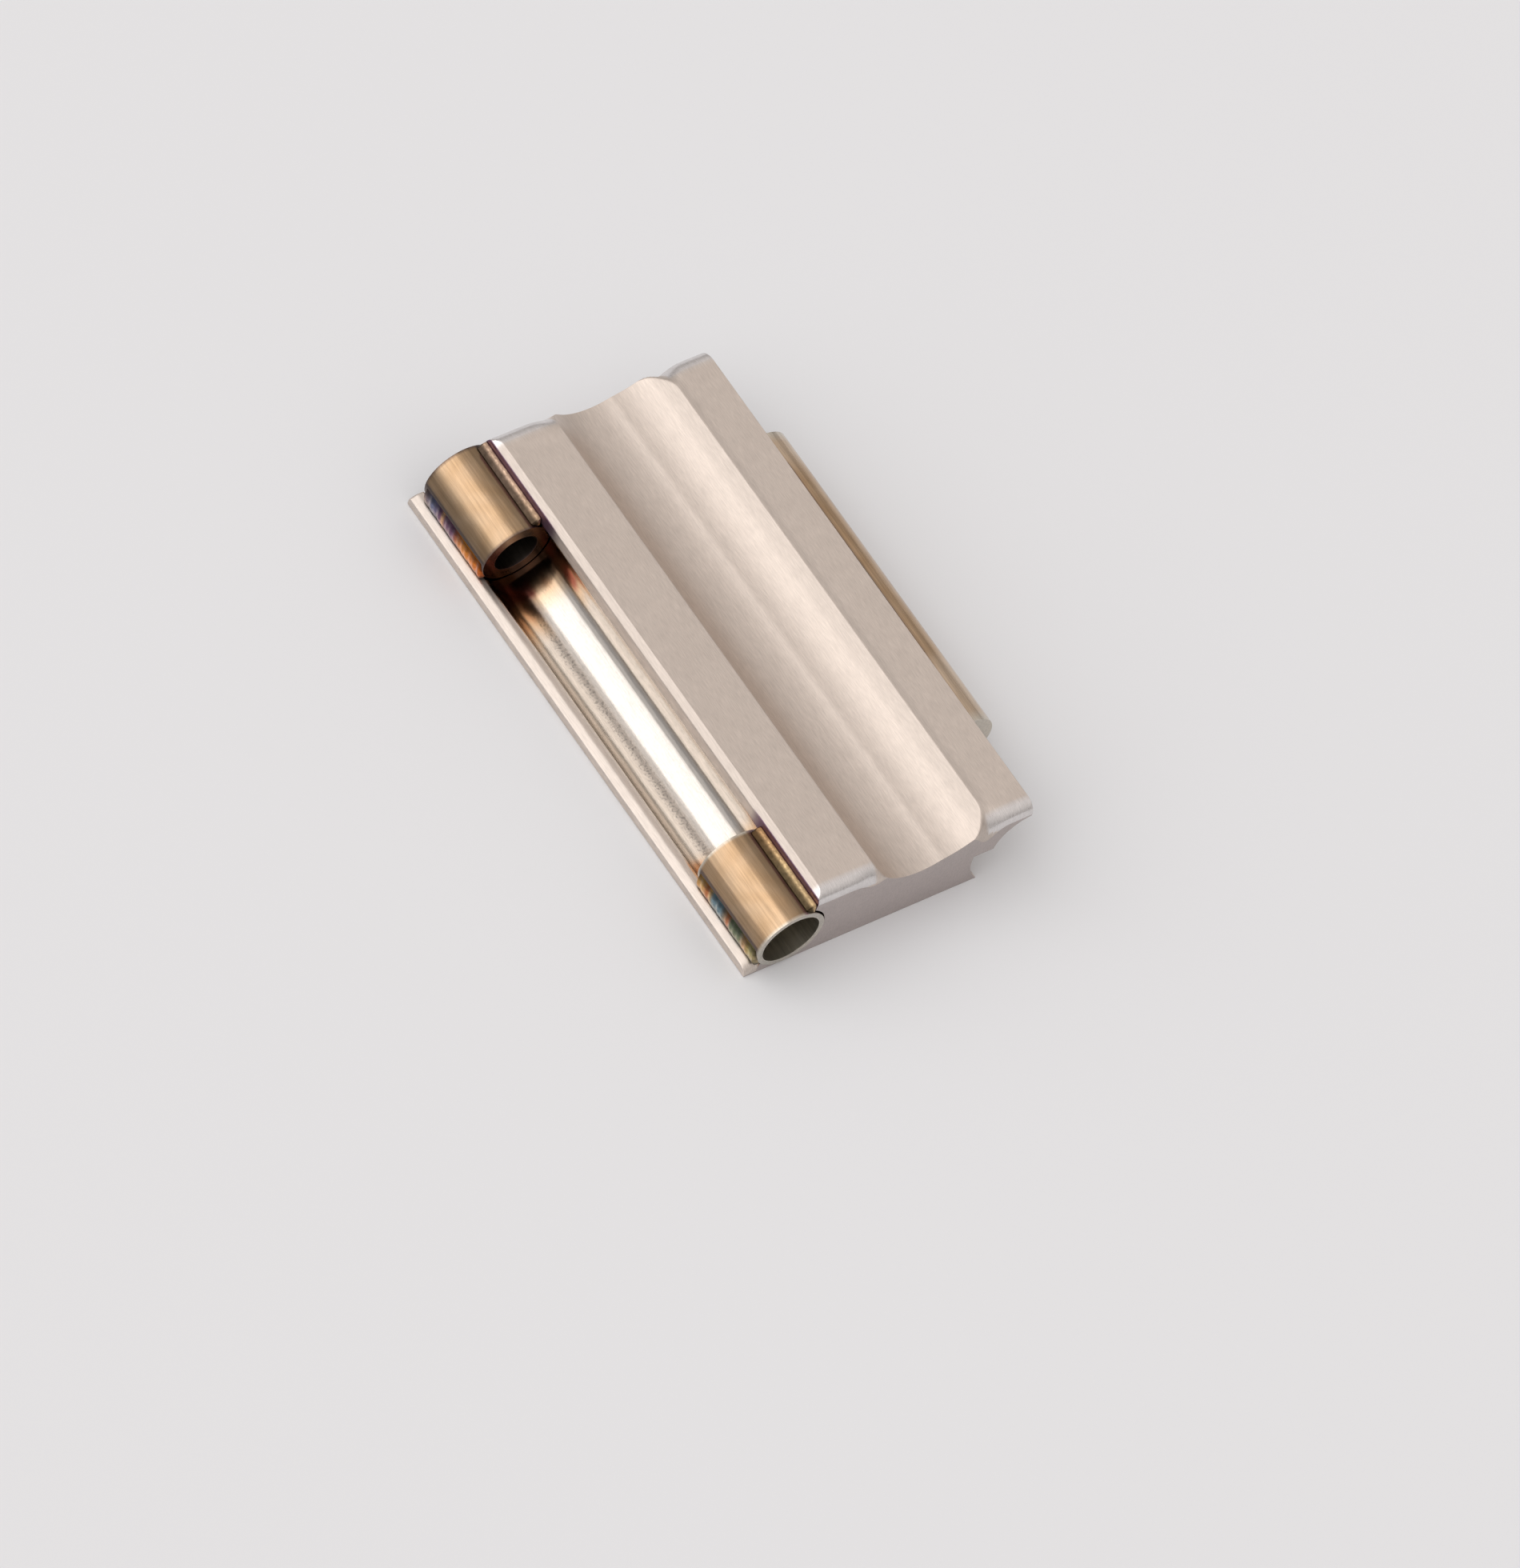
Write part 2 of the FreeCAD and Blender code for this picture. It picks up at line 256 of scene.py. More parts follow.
# the stub: the lip's own outline carried on past the rear end face, starting just inside it
beyond_end = near_ends(BODY_LENGTH, BODY_LENGTH + LIP_STUB, 0, LIP_REAR_RADIUS, 0.1)
stub_y = np.concatenate([[BODY_LENGTH - 0.1], beyond_end])
stub_x = np.linspace(0.004, 0.50, 10)[None, :]
stub_z = lip_top(stub_x, stub_y[:, None]) - 0.003
stub_top = np.stack([np.repeat(stub_x, len(stub_y), 0), stub_z], axis=-1)
stub_floor = np.full((len(stub_y), 1), 0.004)
stub_left = np.stack([stub_top[:, 0, 0], stub_floor[:, 0]], axis=-1)
stub_right = np.stack([stub_top[:, -1, 0], stub_floor[:, 0]], axis=-1)
stub_loops = eased_ring(
    [
        straight(stub_left, stub_top[:, 0], 3),
        stub_top,
        straight(stub_top[:, -1], stub_right, 3),
        straight(stub_right, stub_left, 3),
    ],
    0.02,
)
stub_points = from_leaf(stub_loops[..., 0], stub_y[:, None], stub_loops[..., 1]).reshape(-1, 3)
stub_rows, stub_columns = stub_loops.shape[:2]
first = len(leaf_points)
leaf_faces += grid_faces(stub_rows, stub_columns, first).tolist()
leaf_faces += [
    (np.arange(stub_columns)[::-1] + first).tolist(),
    (np.arange(stub_columns) + first + (stub_rows - 1) * stub_columns).tolist(),
]
leaf_mesh_points = np.concatenate([leaf_points, stub_points])
leaf = new_piece("milled_leaf", leaf_mesh_points, leaf_faces, "leaf_body")

STEEL = np.array([0.70, 0.615, 0.550])
POLISHED = np.array([0.755, 0.70, 0.645])
ROUNDED_HIGHLIGHT = np.array([0.78, 0.76, 0.76])
CUT_END = np.array([0.545, 0.485, 0.465])
STRAW, RUST = np.array([0.74, 0.50, 0.28]), np.array([0.60, 0.24, 0.08])
BROWN, PURPLE = np.array([0.17, 0.095, 0.06]), np.array([0.20, 0.12, 0.17])
MAROON = np.array([0.36, 0.09, 0.08])


def blend(base, over, amount):
    """base where amount is 0, over where it is 1, colour by colour."""
    amount = np.clip(amount, 0, 1)[:, None]
    return base * (1 - amount) + over * amount


def between(value, low, high, soft):
    """1 from low to high, falling to 0 over the distance soft outside them, with eased ends."""
    rise = np.clip((value - low) / soft + 1, 0, 1)
    fall = np.clip((high - value) / soft + 1, 0, 1)
    level = np.minimum(rise, fall)
    return level * level * (3 - 2 * level)


x, y, z = in_leaf(leaf_mesh_points)
seat = between(np.hypot(x - LEFT_AXIS, z - AXIS_Z), 0, SEAT_RADIUS + 0.02, 0.03) * (x < 2.8) * (z > 0.05)
lip_face = (x < 0.52) * (z > 0.05)
rounded = np.maximum(between(y, -1, FRONT_RADIUS - 0.1, 0.2), between(y, BODY_LENGTH - 0.45, 30, 0.2))
rounded = rounded * (z > THICKNESS - 0.6) * (x > WALL_X - 0.01) * (1 - between(x, 4.5, 8.8, 0.15))
wall_face = between(x, WALL_X - 0.02, WALL_X + 0.02, 0.01) * between(z, 2.45, 3.02, 0.05)
patches = 0.5 + 0.5 * np.sin(x * 9.0 + 1.3 * np.sin(y * 7.0)) * np.sin(y * 5.0 + 2.0 * np.sin(x * 4.0))
near_front, near_rear = between(y, -1, 3.6, 0.5), between(y, 15.5, 30, 0.8)
colour = np.repeat(STEEL[None], len(x), 0)
colour = blend(colour, POLISHED, np.maximum(seat, lip_face * 0.2))
# painted highlight: the rounded-over ends are painted paler and bluer to show their bluish-white highlight;
# their real extra polish is the lower roughness further down
colour = blend(colour, ROUNDED_HIGHLIGHT, rounded * 0.8)
wall_arris = between(x, WALL_X, WALL_X + ARRIS, 0.06) * (z > THICKNESS - 0.25)
# painted shade: the wall's arris and the flute's right rim are painted 9% darker, away from the round-overs, to
# dim their highlights
dimmed_crest_shade = np.maximum(between(x, 8.55, 9.0, 0.2), wall_arris)
colour = colour * (1 - 0.09 * dimmed_crest_shade * (1 - rounded))[:, None]
straw_reach = np.maximum(between(y, -1, 3.9, 0.7), between(y, 15.0, 30, 0.9))
colour = blend(colour, STRAW, seat * straw_reach * 0.75)
colour = blend(colour, RUST, seat * np.maximum(near_front, near_rear) * patches * 0.8)
scorched = np.maximum(between(y, -1, 3.42, 0.12), between(y, 15.75, 30, 0.55))
colour = blend(colour, BROWN, seat * scorched * 0.95)
beside_tubes = np.maximum(between(y, -1, 3.45, 0.5), between(y, 15.8, 30, 0.6))
colour = blend(colour, PURPLE, wall_face * beside_tubes)
turned_to = np.degrees(np.arctan2(z - AXIS_Z, x - LEFT_AXIS))
cutter_marks = seat * between(turned_to, -170, -104, 4) * (0.5 + 0.5 * np.sin(turned_to * 1.1))
# painted reflection: a dark band is painted along the polished seat, standing in for its mirror image of a dark
# strip of the surroundings
dark_reflection_band = seat * between(turned_to, -35.5, -21.5, 1.5)
colour = colour * (1 - 0.55 * dark_reflection_band - 0.05 * cutter_marks)[:, None]
rust_spots = np.maximum.reduce([
    between(y, 3.40, 3.85, 0.35) * between(turned_to, -78, -58, 8),
    between(y, 3.40, 3.70, 0.30) * between(turned_to, -24, 14, 10),
    between(y, 3.35, 4.00, 0.35) * between(turned_to, -140, -104, 10),
])
colour = blend(colour, RUST, seat * rust_spots * (0.35 + 0.65 * patches))
stained = between(y, 15.15, 15.6, 0.25) * between(turned_to, -112, -74, 10)
colour = blend(colour, MAROON, seat * stained * 0.8)
rough = np.full(len(x), 0.42) - 0.33 * seat - 0.23 * rounded - 0.04 * lip_face
pitted = np.maximum(0.5 * between(turned_to, -92, -83, 6), 0.08 * between(turned_to, -76, -40, 4))
pitting = seat * pitted
paint(leaf, colour, rough, pitting, CUT_END, 0.42)


PIT_FREQUENCY = 11000.0      # per metre


def worn_metal(name, line_size, line_depth, mottle, grime):
    """Metal that takes its colour, satin and pits from the piece, with fine lines along Y and a faint mottle.

    The lines are noise drawn out to line_size along X, Y and Z, in metres; the pits are the peaks of a
    finer noise, shown as far as the piece's own pitting says.
    """
    material = bpy.data.materials.new(name)
    material.use_nodes = True
    nodes, links = material.node_tree.nodes, material.node_tree.links
    shader = nodes["Principled BSDF"]
    shader.inputs["Metallic"].default_value = 1.0
    place = nodes.new("ShaderNodeTexCoord")
    stretch = nodes.new("ShaderNodeMapping")
    stretch.inputs["Scale"].default_value = [1 / size for size in line_size]
    links.new(place.outputs["Object"], stretch.inputs["Vector"])
    lines = nodes.new("ShaderNodeTexNoise")
    lines.inputs["Scale"].default_value = 1.0
    lines.inputs["Detail"].default_value = 4.0
    lines.inputs["Roughness"].default_value = 0.65
    links.new(stretch.outputs["Vector"], lines.inputs["Vector"])
    cloud = nodes.new("ShaderNodeTexNoise")
    cloud.inputs["Scale"].default_value = 1 / mottle
    cloud.inputs["Detail"].default_value = 5.0
    links.new(place.outputs["Object"], cloud.inputs["Vector"])
    tint = nodes.new("ShaderNodeAttribute")
    tint.attribute_name = "tint"
    satin = nodes.new("ShaderNodeAttribute")
    satin.attribute_name = "satin"
    shade = nodes.new("ShaderNodeMapRange")
    shade.inputs["From Min"].default_value, shade.inputs["From Max"].default_value = 0.3, 0.7
    shade.inputs["To Min"].default_value, shade.inputs["To Max"].default_value = 1 - grime, 1 + grime * 0.4
    links.new(lines.outputs["Fac"], shade.inputs["Value"])
    cloudy = nodes.new("ShaderNodeMapRange")
    cloudy.inputs["From Min"].default_value, cloudy.inputs["From Max"].default_value = 0.3, 0.7
    cloudy.inputs["To Min"].default_value, cloudy.inputs["To Max"].default_value = 1 - grime * 0.3, 1.0
    links.new(cloud.outputs["Fac"], cloudy.inputs["Value"])
    both = nodes.new("ShaderNodeMath")
    both.operation = "MULTIPLY"
    links.new(shade.outputs["Result"], both.inputs[0])
    links.new(cloudy.outputs["Result"], both.inputs[1])
    toned = nodes.new("ShaderNodeVectorMath")
    toned.operation = "SCALE"
    grain = nodes.new("ShaderNodeTexNoise")
    grain.inputs["Scale"].default_value = PIT_FREQUENCY
    grain.inputs["Detail"].default_value = 3.0
    links.new(place.outputs["Object"], grain.inputs["Vector"])
    peaks = nodes.new("ShaderNodeMapRange")
    peaks.inputs["From Min"].default_value, peaks.inputs["From Max"].default_value = 0.50, 0.66
    peaks.inputs["To Min"].default_value, peaks.inputs["To Max"].default_value = 0.0, 0.75
    links.new(grain.outputs["Fac"], peaks.inputs["Value"])
    pits = nodes.new("ShaderNodeAttribute")
    pits.attribute_name = "pits"
    shown = nodes.new("ShaderNodeMath")
    shown.operation = "MULTIPLY"
    links.new(peaks.outputs["Result"], shown.inputs[0])
    links.new(pits.outputs["Fac"], shown.inputs[1])
    clean = nodes.new("ShaderNodeMath")
    clean.operation = "SUBTRACT"
    clean.inputs[0].default_value = 1.0
    links.new(shown.outputs[0], clean.inputs[1])
    marked = nodes.new("ShaderNodeMath")
    marked.operation = "MULTIPLY"
    links.new(both.outputs[0], marked.inputs[0])
    links.new(clean.outputs[0], marked.inputs[1])
    links.new(tint.outputs["Color"], toned.inputs[0])
    links.new(marked.outputs[0], toned.inputs["Scale"])
    links.new(toned.outputs["Vector"], shader.inputs["Base Color"])
    gloss = nodes.new("ShaderNodeMath")
    gloss.operation = "MULTIPLY_ADD"
    gloss.inputs[1].default_value = 0.10
    links.new(lines.outputs["Fac"], gloss.inputs[0])
    links.new(satin.outputs["Fac"], gloss.inputs[2])
    links.new(gloss.outputs[0], shader.inputs["Roughness"])
    relief = nodes.new("ShaderNodeBump")
    relief.inputs["Strength"].default_value = 1.0
    relief.inputs["Distance"].default_value = line_depth
    links.new(lines.outputs["Fac"], relief.inputs["Height"])
    links.new(relief.outputs["Normal"], shader.inputs["Normal"])
    return material


leaf.data.materials.append(worn_metal("brushed_stainless", (28e-6, 0.42e-3, 100e-6), 1.3e-6, 0.6e-3, 0.16))

# ---------------------------------------------------------------------------------------------------
# The knuckles: three lengths of thin stainless tube laid in the seats. Welding has tinted them straw and
# brown. The front one is counterbored for the pin's head, and every rim is lightly rounded.
# ---------------------------------------------------------------------------------------------------
BORE_RADIUS, HEAD_RADIUS, HEAD_DEPTH = 0.80, 1.06, 1.00
TUBE_TURNS = 160


def tube_profile(radius, start, end, bore, mouth, mouth_depth, rim):
    """Closed profile (radius, y) of a turned tube wall, with eased rims and a stepped mouth at its start."""
    outer = [(radius, start), (radius, end)]
    inner = [(bore, end), (bore, start + mouth_depth), (mouth, start + mouth_depth), (mouth, start)]
    if mouth_depth == 0:
        inner = [(bore, end), (bore, start)]
    corners = np.array(outer + inner)[None]
    runs = [
        straight(corners[:, i], corners[:, (i + 1) % corners.shape[1]], 30)
        for i in range(corners.shape[1])
    ]
    return eased_ring(runs, rim)[0]


def turned_tube(name, axis_x, node, bore, mouth, mouth_depth, rim):
    """Carries the wall's profile round the knuckle axis: x = a + r cos, z = c + r sin."""
    low, high = (np.array(corner) / MM - LEAF_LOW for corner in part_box(node))
    radius = (high[2] - low[2]) / 2
    profile = tube_profile(radius, low[1], high[1], bore, mouth, mouth_depth, rim)
    angle = np.linspace(0, 2 * math.pi, TUBE_TURNS, endpoint=False)[:, None]
    across = profile[None, :, 0]
    points = from_leaf(
        axis_x + across * np.cos(angle), profile[None, :, 1], AXIS_Z + across * np.sin(angle)
    )
    index = np.arange(points.shape[0] * points.shape[1]).reshape(points.shape[:2])
    around, beside = np.roll(index, -1, 0), np.roll(index, -1, 1)
    quads = np.stack([index, beside, np.roll(around, -1, 1), around], axis=-1).reshape(-1, 4)
    return new_piece(name, points, quads.tolist(), node)


TUBE_TAN, TUBE_BROWN = np.array([0.66, 0.51, 0.37]), np.array([0.52, 0.345, 0.20])
TUBE_SCORCH, TUBE_BORE = np.array([0.12, 0.085, 0.08]), np.array([0.46, 0.43, 0.36])
DARK_BORE_SHADE = np.array([0.10, 0.085, 0.07])
TUBE_FACE = np.array([0.72, 0.68, 0.60])
TUBE_RADIUS = 1.25
for name, axis_x, node, mouth, depth, rim, left_flank_shade in (
    ("front_knuckle", LEFT_AXIS, "front_knuckle_tube", HEAD_RADIUS, HEAD_DEPTH, 0.05, 0.90),
    ("rear_knuckle", LEFT_AXIS, "rear_knuckle_tube", BORE_RADIUS, 0, 0.12, 0.55),
    ("centre_knuckle", RIGHT_AXIS, "centre_knuckle_tube", BORE_RADIUS, 0, 0.06, 0.70),
):
    tube = turned_tube(name, axis_x, node, BORE_RADIUS, mouth, depth, rim)
    at_points = np.zeros(3 * len(tube.data.vertices), dtype=np.float32)
    tube.data.vertices.foreach_get("co", at_points)
    x, y, z = in_leaf(at_points.reshape(-1, 3).astype(float))
    reach = np.hypot(x - axis_x, z - AXIS_Z)
    around = np.degrees(np.arctan2(z - AXIS_Z, x - axis_x)) % 360
    centre = node == "centre_knuckle_tube"
    welded = between(y, 6.9, 14.3, 0.9) if centre else np.ones(len(x))
    cloud = 0.5 + 0.5 * np.sin(np.radians(around) * 5 + 2.0 * np.sin(y * 2.3)) * np.sin(y * 3.1 + x * 2.0)
    colour = blend(np.repeat(TUBE_TAN[None], len(x), 0), TUBE_BROWN, welded * (0.7 + 0.3 * cloud))
    toes = between(around, 84, 200, 9) if centre else between(around, 0, 71, 7)
    toes = np.maximum(toes, 0 if centre else between(around, 178, 300, 5)) * (reach > BORE_RADIUS + 0.1)
    colour = blend(colour, TUBE_SCORCH, toes * welded * 0.85)
    # painted shade and highlight: every tube is painted darker on its left flank, each by its own factor; the
    # two side tubes are also painted darker everywhere except the band from 108 to 150 degrees, where the soft
    # box's highlight falls, and darker still from 66 to 86 degrees
    shade = 1 - (1 - left_flank_shade) * between(around, 150, 240, 14)
    if not centre:
        shade = shade * (0.78 + 0.25 * between(around, 108, 150, 12)) * (1 - 0.35 * between(around, 66, 86, 8))
    colour = colour * shade[:, None]
    low_y, high_y = y.min(), y.max()
    inside = between(reach, 0, mouth + 0.01, 0.02) * (reach < TUBE_RADIUS - 0.1)
    # painted shade: the rear tube's bore is painted near-black
    colour = blend(colour, DARK_BORE_SHADE if node == "rear_knuckle_tube" else TUBE_BORE, inside)
    faced = between(y, low_y - 1, low_y + 0.015, 0.02)
    faced = np.maximum(faced, between(y, high_y - 0.015, high_y + 1, 0.02))
    colour = blend(colour, TUBE_SCORCH if node == "rear_knuckle_tube" else TUBE_FACE, faced * 0.8)
    paint(tube, colour, np.full(len(x), 0.17) + 0.16 * inside, 0 * x)
    tinted = worn_metal("heat_tint_and_painted_light_tube_" + name, (90e-6, 2.0e-3, 90e-6), 0.8e-6, 0.5e-3, 0.26)
    tube.data.materials.append(tinted)

# ---------------------------------------------------------------------------------------------------
# The weld beads: small fillets of filler run along both sides of each tube. They are lumpy and shiny,
# and the heat has coloured them in bands from straw through purple to blue.
# ---------------------------------------------------------------------------------------------------
BEAD_STEPS, BEAD_ACROSS = 220, 18
BEAD_LUMP = (130e-6, 170e-6, 130e-6)
LIP_BEAD_FOOT, WALL_BEAD_FOOT = 0.22, 0.28          # how far each bead spreads from the seat's edge
TIP_BEAD_FOOT, LEDGE_BEAD_FOOT = 0.25, 0.35
LIP_CROWN, CROWN = 0.08, 0.04                       # how far a bead's face bulges
ROOT_RADIUS = TUBE_RADIUS - 0.03                    # the root lies just inside the tube's wall


def bead_colours(y, stops):
    """Colour along Y, straight-line between (y, red, green, blue) stops."""
    table = np.array(stops)
    return np.stack([np.interp(y, table[:, 0], table[:, channel]) for channel in (1, 2, 3)], axis=-1)


def weld_bead(name, node, foot, toe, root, crown, stops, across):
    """Fillet between foot and toe: (1-v) foot + v toe, pushed out by crown sin(pi v)^0.8.

    It is rippled along Y and shrunk to its root at both ends by a quarter ellipse. The back runs through the
    root, inside the joint.
    """
    low, high = (np.array(corner) / MM - LEAF_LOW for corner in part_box(node))
    along = (1 - np.cos(np.linspace(0, math.pi, BEAD_STEPS))) / 2
    even = np.linspace(0, 1, BEAD_STEPS)
    t = 0.25 * along + 0.75 * even
    y = (low[1] + (high[1] - low[1]) * t)[:, None]
    ends = np.minimum(y - low[1], high[1] - y)
    taper = np.sqrt(np.clip(1 - (1 - np.clip(ends / 0.12, 0, 1)) ** 2, 0, 1)) * 0.97 + 0.03
    ripple = 1 + 0.16 * np.sin(y * 11.0 + 2 * np.sin(y * 2.3)) + 0.10 * np.sin(y * 27.0 + 1.0)
    foot, toe, root = (np.array(p, float) for p in (foot, toe, root))
    v = np.linspace(0, 1, BEAD_ACROSS)[None, :]
    chord = toe - foot
    outward = np.array([-chord[1], chord[0]]) / np.hypot(*chord)
    if np.dot(outward, foot - root) < 0 and np.dot(outward, toe - root) < 0:
        outward = -outward
    bulge = crown * np.sin(math.pi * v) ** 0.8 * ripple
    face = foot * (1 - v[..., None]) + toe * v[..., None] + outward * bulge[..., None]
    back = root + np.zeros_like(face[:, :1])
    loop = np.concatenate([face, back], axis=1)
    loop = root + (loop - root) * taper[..., None]
    points = from_leaf(loop[..., 0], y, loop[..., 1])
    steps, count = loop.shape[:2]
    across_x, across_z = loop[0, :, 0], loop[0, :, 1]
    area = np.sum(across_x * np.roll(across_z, -1) - across_z * np.roll(across_x, -1))
    caps = [np.arange(count)[::-1], np.arange(count) + (steps - 1) * count]
    faces = grid_faces(steps, count).tolist() + [cap.tolist() for cap in caps]
    if area > 0:        # a section drawn anticlockwise would turn the bead inside out
        faces = [one_face[::-1] for one_face in faces]
    bead = new_piece(name, points, faces, node)
    # painted highlight and shade: the bead is painted in bright and dark bands across it, from the brightness
    # stops given in across, and its hidden back at 0.1
    shade = np.tile(np.append(np.interp(v[0], *np.array(across).T), 0.1), steps)
    colour = bead_colours(np.repeat(y[:, 0], count), stops) * shade[:, None]
    paint(bead, colour, np.full(len(colour), 0.16), np.zeros(len(colour)))
    return bead


GOLD, EMBER, PLUM = (0.75, 0.45, 0.13), (0.55, 0.17, 0.05), (0.22, 0.10, 0.18)
BLUE, GREEN = (0.20, 0.32, 0.38), (0.20, 0.24, 0.14)
FRONT_LIP_STOPS = (
    (-0.1, 0.35, 0.25, 0.15), (0.3, 0.50, 0.44, 0.16), (0.6, 0.60, 0.34, 0.14), (0.9, *GREEN),
    (1.4, *GREEN), (1.55, *EMBER), (1.75, 0.30, 0.20, 0.10), (1.95, *BLUE), (2.45, *BLUE), (2.6, *GOLD),
    (2.75, *EMBER),
    (3.05, *GOLD), (3.5, 0.50, 0.22, 0.07),
)
REAR_LIP_STOPS = (
    (16.1, 0.60, 0.14, 0.02), (16.7, 0.85, 0.27, 0.03), (17.2, 0.88, 0.33, 0.05), (17.6, *EMBER),
    (17.8, *PLUM), (18.3, *PLUM), (18.42, 0.80, 0.45, 0.22), (18.55, *PLUM), (19.0, 0.18, 0.20, 0.34),
    (19.6, 0.30, 0.18, 0.10),
)
# painted highlight and shade across each bead, from foot to toe: the lip and centre beads are bright in the
# middle and dark at both edges, the wall beads bright near the wall and dark towards the tube
LIP_BEAD_PAINTED_LIGHT = ((0, 0.22), (0.18, 0.45), (0.32, 1.0), (0.62, 1.0), (0.80, 0.35), (1, 0.15))   # foot to toe
WALL_BEAD_PAINTED_LIGHT = ((0, 0.30), (0.10, 0.9), (0.30, 1.0), (0.45, 0.35), (0.6, 0.14), (1, 0.12))
WALL_STOPS = (
    (0, 0.66, 0.47, 0.26), (1.6, 0.78, 0.56, 0.30), (3.4, 0.60, 0.34, 0.16),
    (16, 0.62, 0.42, 0.27), (18, 0.74, 0.52, 0.38), (19.6, 0.60, 0.42, 0.30),
)
CENTRE_STOPS = (
    (6.6, *EMBER), (7.4, *GOLD), (8.6, *PLUM), (9.6, *BLUE), (11.0, *PLUM), (12.4, *GOLD),
    (13.8, *EMBER), (15.0, 0.4, 0.3, 0.2),
)


def seat_point(axis_x, radius, degrees):
    """Point at a radius and an angle about a knuckle axis."""
    angle = math.radians(degrees)
    return (axis_x + radius * math.cos(angle), AXIS_Z + radius * math.sin(angle))


LIP_EDGE = seat_point(LEFT_AXIS, SEAT_RADIUS, 226.95)
WALL_EDGE = seat_point(LEFT_AXIS, SEAT_RADIUS, 57.94)
TIP_EDGE = seat_point(RIGHT_AXIS, SEAT_RADIUS, 96.63)
LEDGE_EDGE = seat_point(RIGHT_AXIS, SEAT_RADIUS, 175.59)
for end, lip_stops in (("front", FRONT_LIP_STOPS), ("rear", REAR_LIP_STOPS)):
    outer = weld_bead(
        end + "_outer_bead", end + "_weld_outer", (LIP_EDGE[0] - LIP_BEAD_FOOT, LIP_HEIGHT),
        seat_point(LEFT_AXIS, TUBE_RADIUS, 184), seat_point(LEFT_AXIS, ROOT_RADIUS, 220),
        LIP_CROWN, lip_stops, LIP_BEAD_PAINTED_LIGHT,
    )
    inner = weld_bead(
        end + "_inner_bead", end + "_weld_inner", (WALL_X, WALL_EDGE[1] + WALL_BEAD_FOOT),
        seat_point(LEFT_AXIS, TUBE_RADIUS, 74), seat_point(LEFT_AXIS, ROOT_RADIUS, 60),
        CROWN, WALL_STOPS, WALL_BEAD_PAINTED_LIGHT,
    )
    for bead in (outer, inner):
        bead.data.materials.append(worn_metal("weld_" + bead.name, BEAD_LUMP, 7e-6, 0.25e-3, 0.4))
upper = weld_bead(
    "centre_upper_bead", "centre_weld_upper", (BODY_WIDTH, TIP_EDGE[1] + TIP_BEAD_FOOT),
    seat_point(RIGHT_AXIS, TUBE_RADIUS, 80), seat_point(RIGHT_AXIS, ROOT_RADIUS, 92),
    CROWN, CENTRE_STOPS, LIP_BEAD_PAINTED_LIGHT,
)
lower = weld_bead(
    "centre_lower_bead", "centre_weld_lower", (LEDGE_EDGE[0] - LEDGE_BEAD_FOOT, LEDGE_Z),
    seat_point(RIGHT_AXIS, TUBE_RADIUS, 195), seat_point(RIGHT_AXIS, ROOT_RADIUS, 178),
    CROWN, CENTRE_STOPS, LIP_BEAD_PAINTED_LIGHT,
)
for bead in (upper, lower):
    bead.data.materials.append(worn_metal("weld_" + bead.name, BEAD_LUMP, 7e-6, 0.25e-3, 0.4))

# ---------------------------------------------------------------------------------------------------
# The table the leaf lies on, the studio light and the camera.
# ---------------------------------------------------------------------------------------------------
FLOOR_SIZE = 1.2
FLOOR_Z = -0.01 * MM        # a hair below the leaf, so that the two faces don't share a plane
floor_mesh = bpy.data.meshes.new("table_top")
half = FLOOR_SIZE / 2
floor_corners = [(-half, -half, FLOOR_Z), (half, -half, FLOOR_Z), (half, half, FLOOR_Z), (-half, half, FLOOR_Z)]
floor_mesh.from_pydata(floor_corners, [], [(0, 1, 2, 3)])
floor = bpy.data.objects.new("table_top", floor_mesh)
bpy.context.scene.collection.objects.link(floor)
floor_paint = bpy.data.materials.new("pale_table")
floor_paint.use_nodes = True
floor_shader = floor_paint.node_tree.nodes["Principled BSDF"]
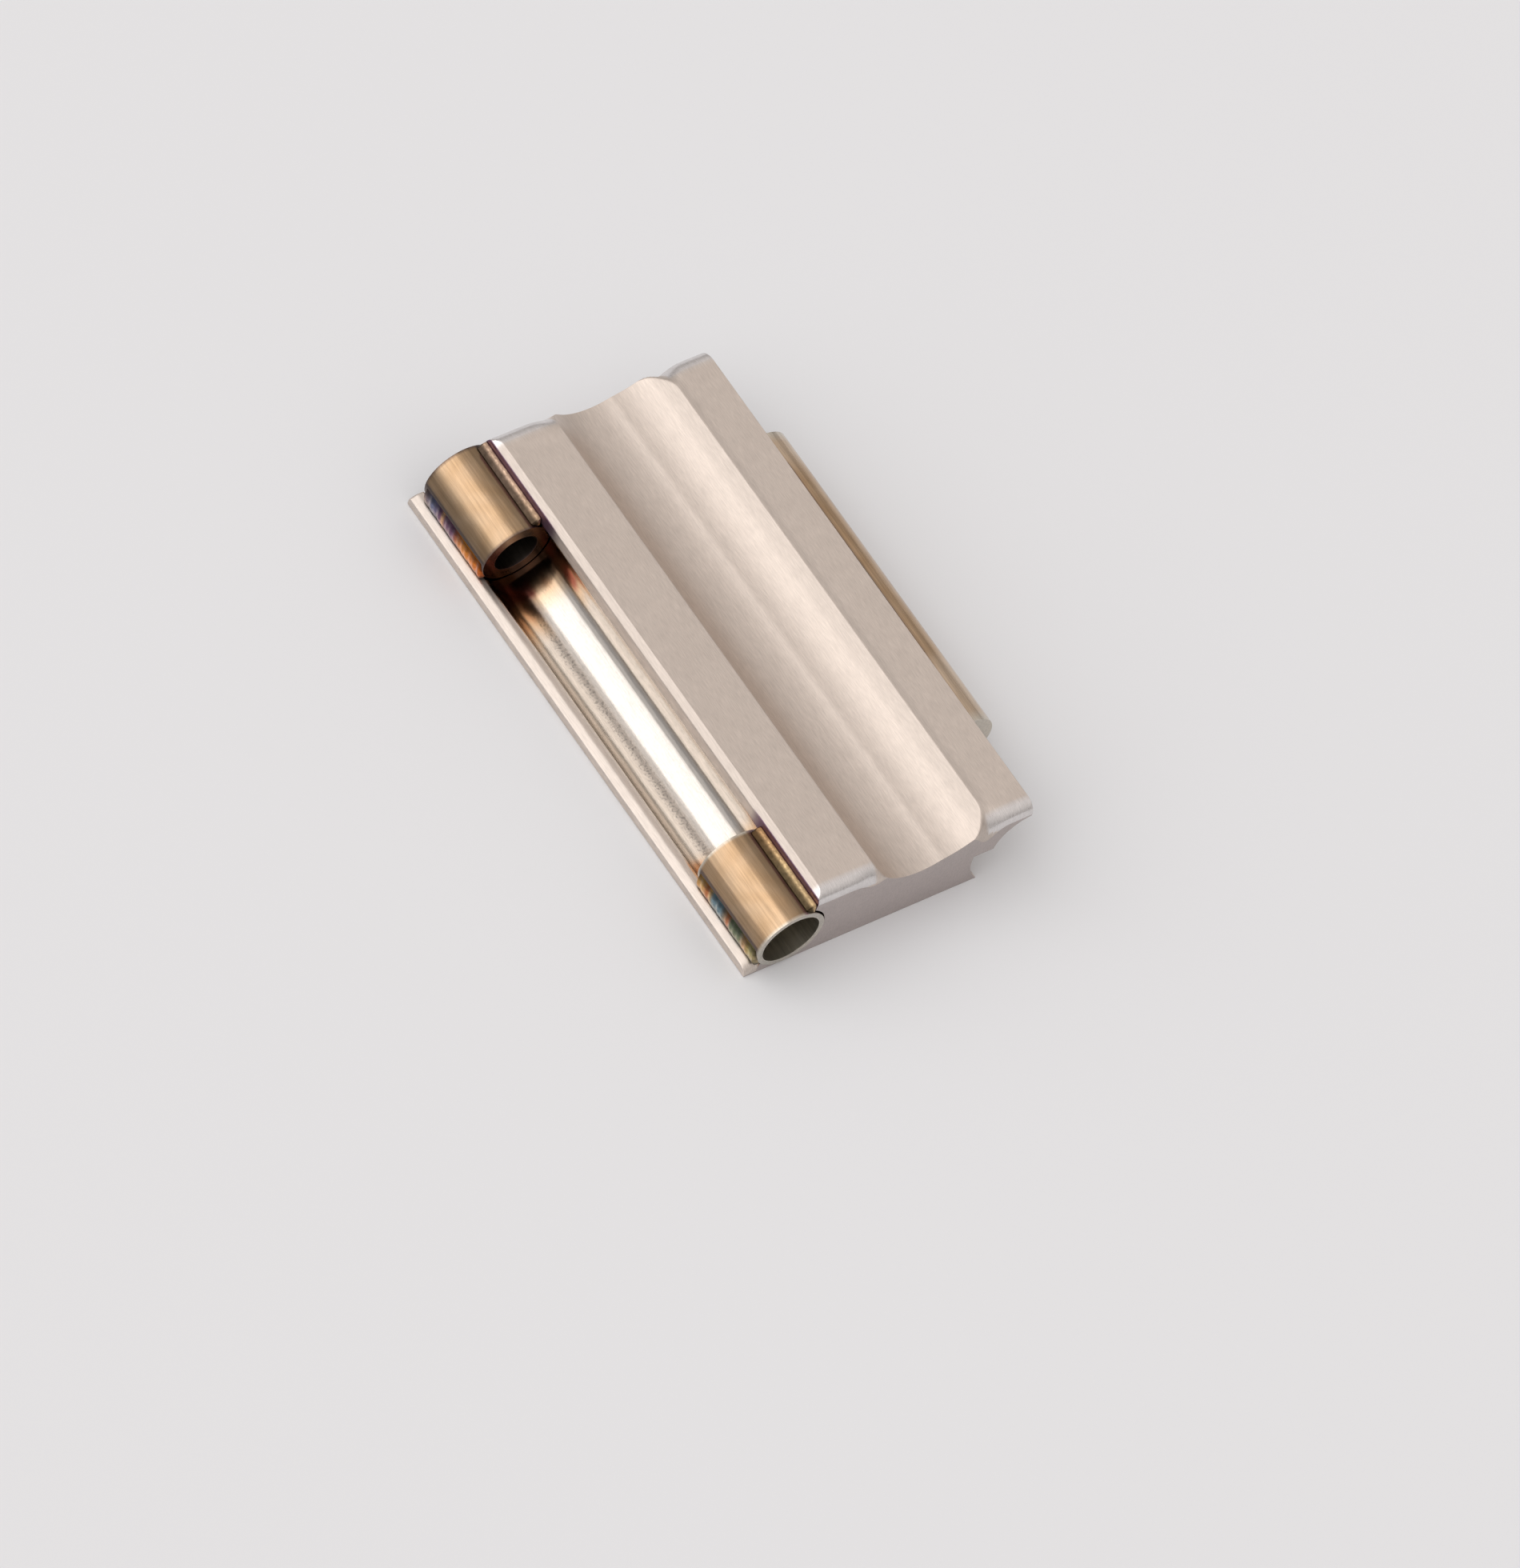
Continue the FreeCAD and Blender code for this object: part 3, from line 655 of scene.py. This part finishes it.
floor_shader.inputs["Base Color"].default_value = (0.765, 0.775, 0.795, 1)
floor_shader.inputs["Roughness"].default_value = 0.8
floor_mesh.materials.append(floor_paint)

world = bpy.data.worlds.new("studio")
bpy.context.scene.world = world
world.use_nodes = True
nodes, links = world.node_tree.nodes, world.node_tree.links
aim = nodes.new("ShaderNodeTexCoord")
split = nodes.new("ShaderNodeSeparateXYZ")
links.new(aim.outputs["Generated"], split.inputs[0])
rise = nodes.new("ShaderNodeMapRange")
rise.interpolation_type = "SMOOTHSTEP"
rise.inputs["From Min"].default_value, rise.inputs["From Max"].default_value = -0.05, 0.9
rise.inputs["To Min"].default_value, rise.inputs["To Max"].default_value = 0.46, 0.84
links.new(split.outputs["Z"], rise.inputs["Value"])
links.new(rise.outputs["Result"], nodes["Background"].inputs["Strength"])
nodes["Background"].inputs["Color"].default_value = (1.0, 0.955, 0.93, 1)

KEY_SIZE, KEY_DISTANCE, KEY_RADIANCE = 3.44, 2.20, 0.95
key_direction = Vector((-0.74, 0.30, 0.60)).normalized()
key_data = bpy.data.lights.new("soft_box", "AREA")
key_data.shape = "SQUARE"
key_data.size = KEY_SIZE
key_data.energy = KEY_RADIANCE * math.pi * KEY_SIZE**2
key = bpy.data.objects.new("soft_box", key_data)
key.location = key_direction * KEY_DISTANCE
key.rotation_mode = "QUATERNION"
key.rotation_quaternion = key_direction.to_track_quat("Z", "Y")
bpy.context.scene.collection.objects.link(key)

camera_data = bpy.data.cameras.new("camera")
camera_data.sensor_width = 36.0
camera_data.lens = 367.35
camera_data.clip_start, camera_data.clip_end = 0.01, 5.0
camera = bpy.data.objects.new("camera", camera_data)
right = Vector((0.80639, -0.54035, 0.24023))
up = Vector((0.34116, 0.75692, 0.55734))
back = Vector((-0.48299, -0.36748, 0.79472))
turn = Matrix((right, up, back)).transposed().to_4x4()
camera.matrix_world = Matrix.Translation((-0.247130, -0.190976, 0.404448)) @ turn
bpy.context.scene.collection.objects.link(camera)
bpy.context.scene.camera = camera
bpy.context.scene.view_settings.view_transform = "Standard"
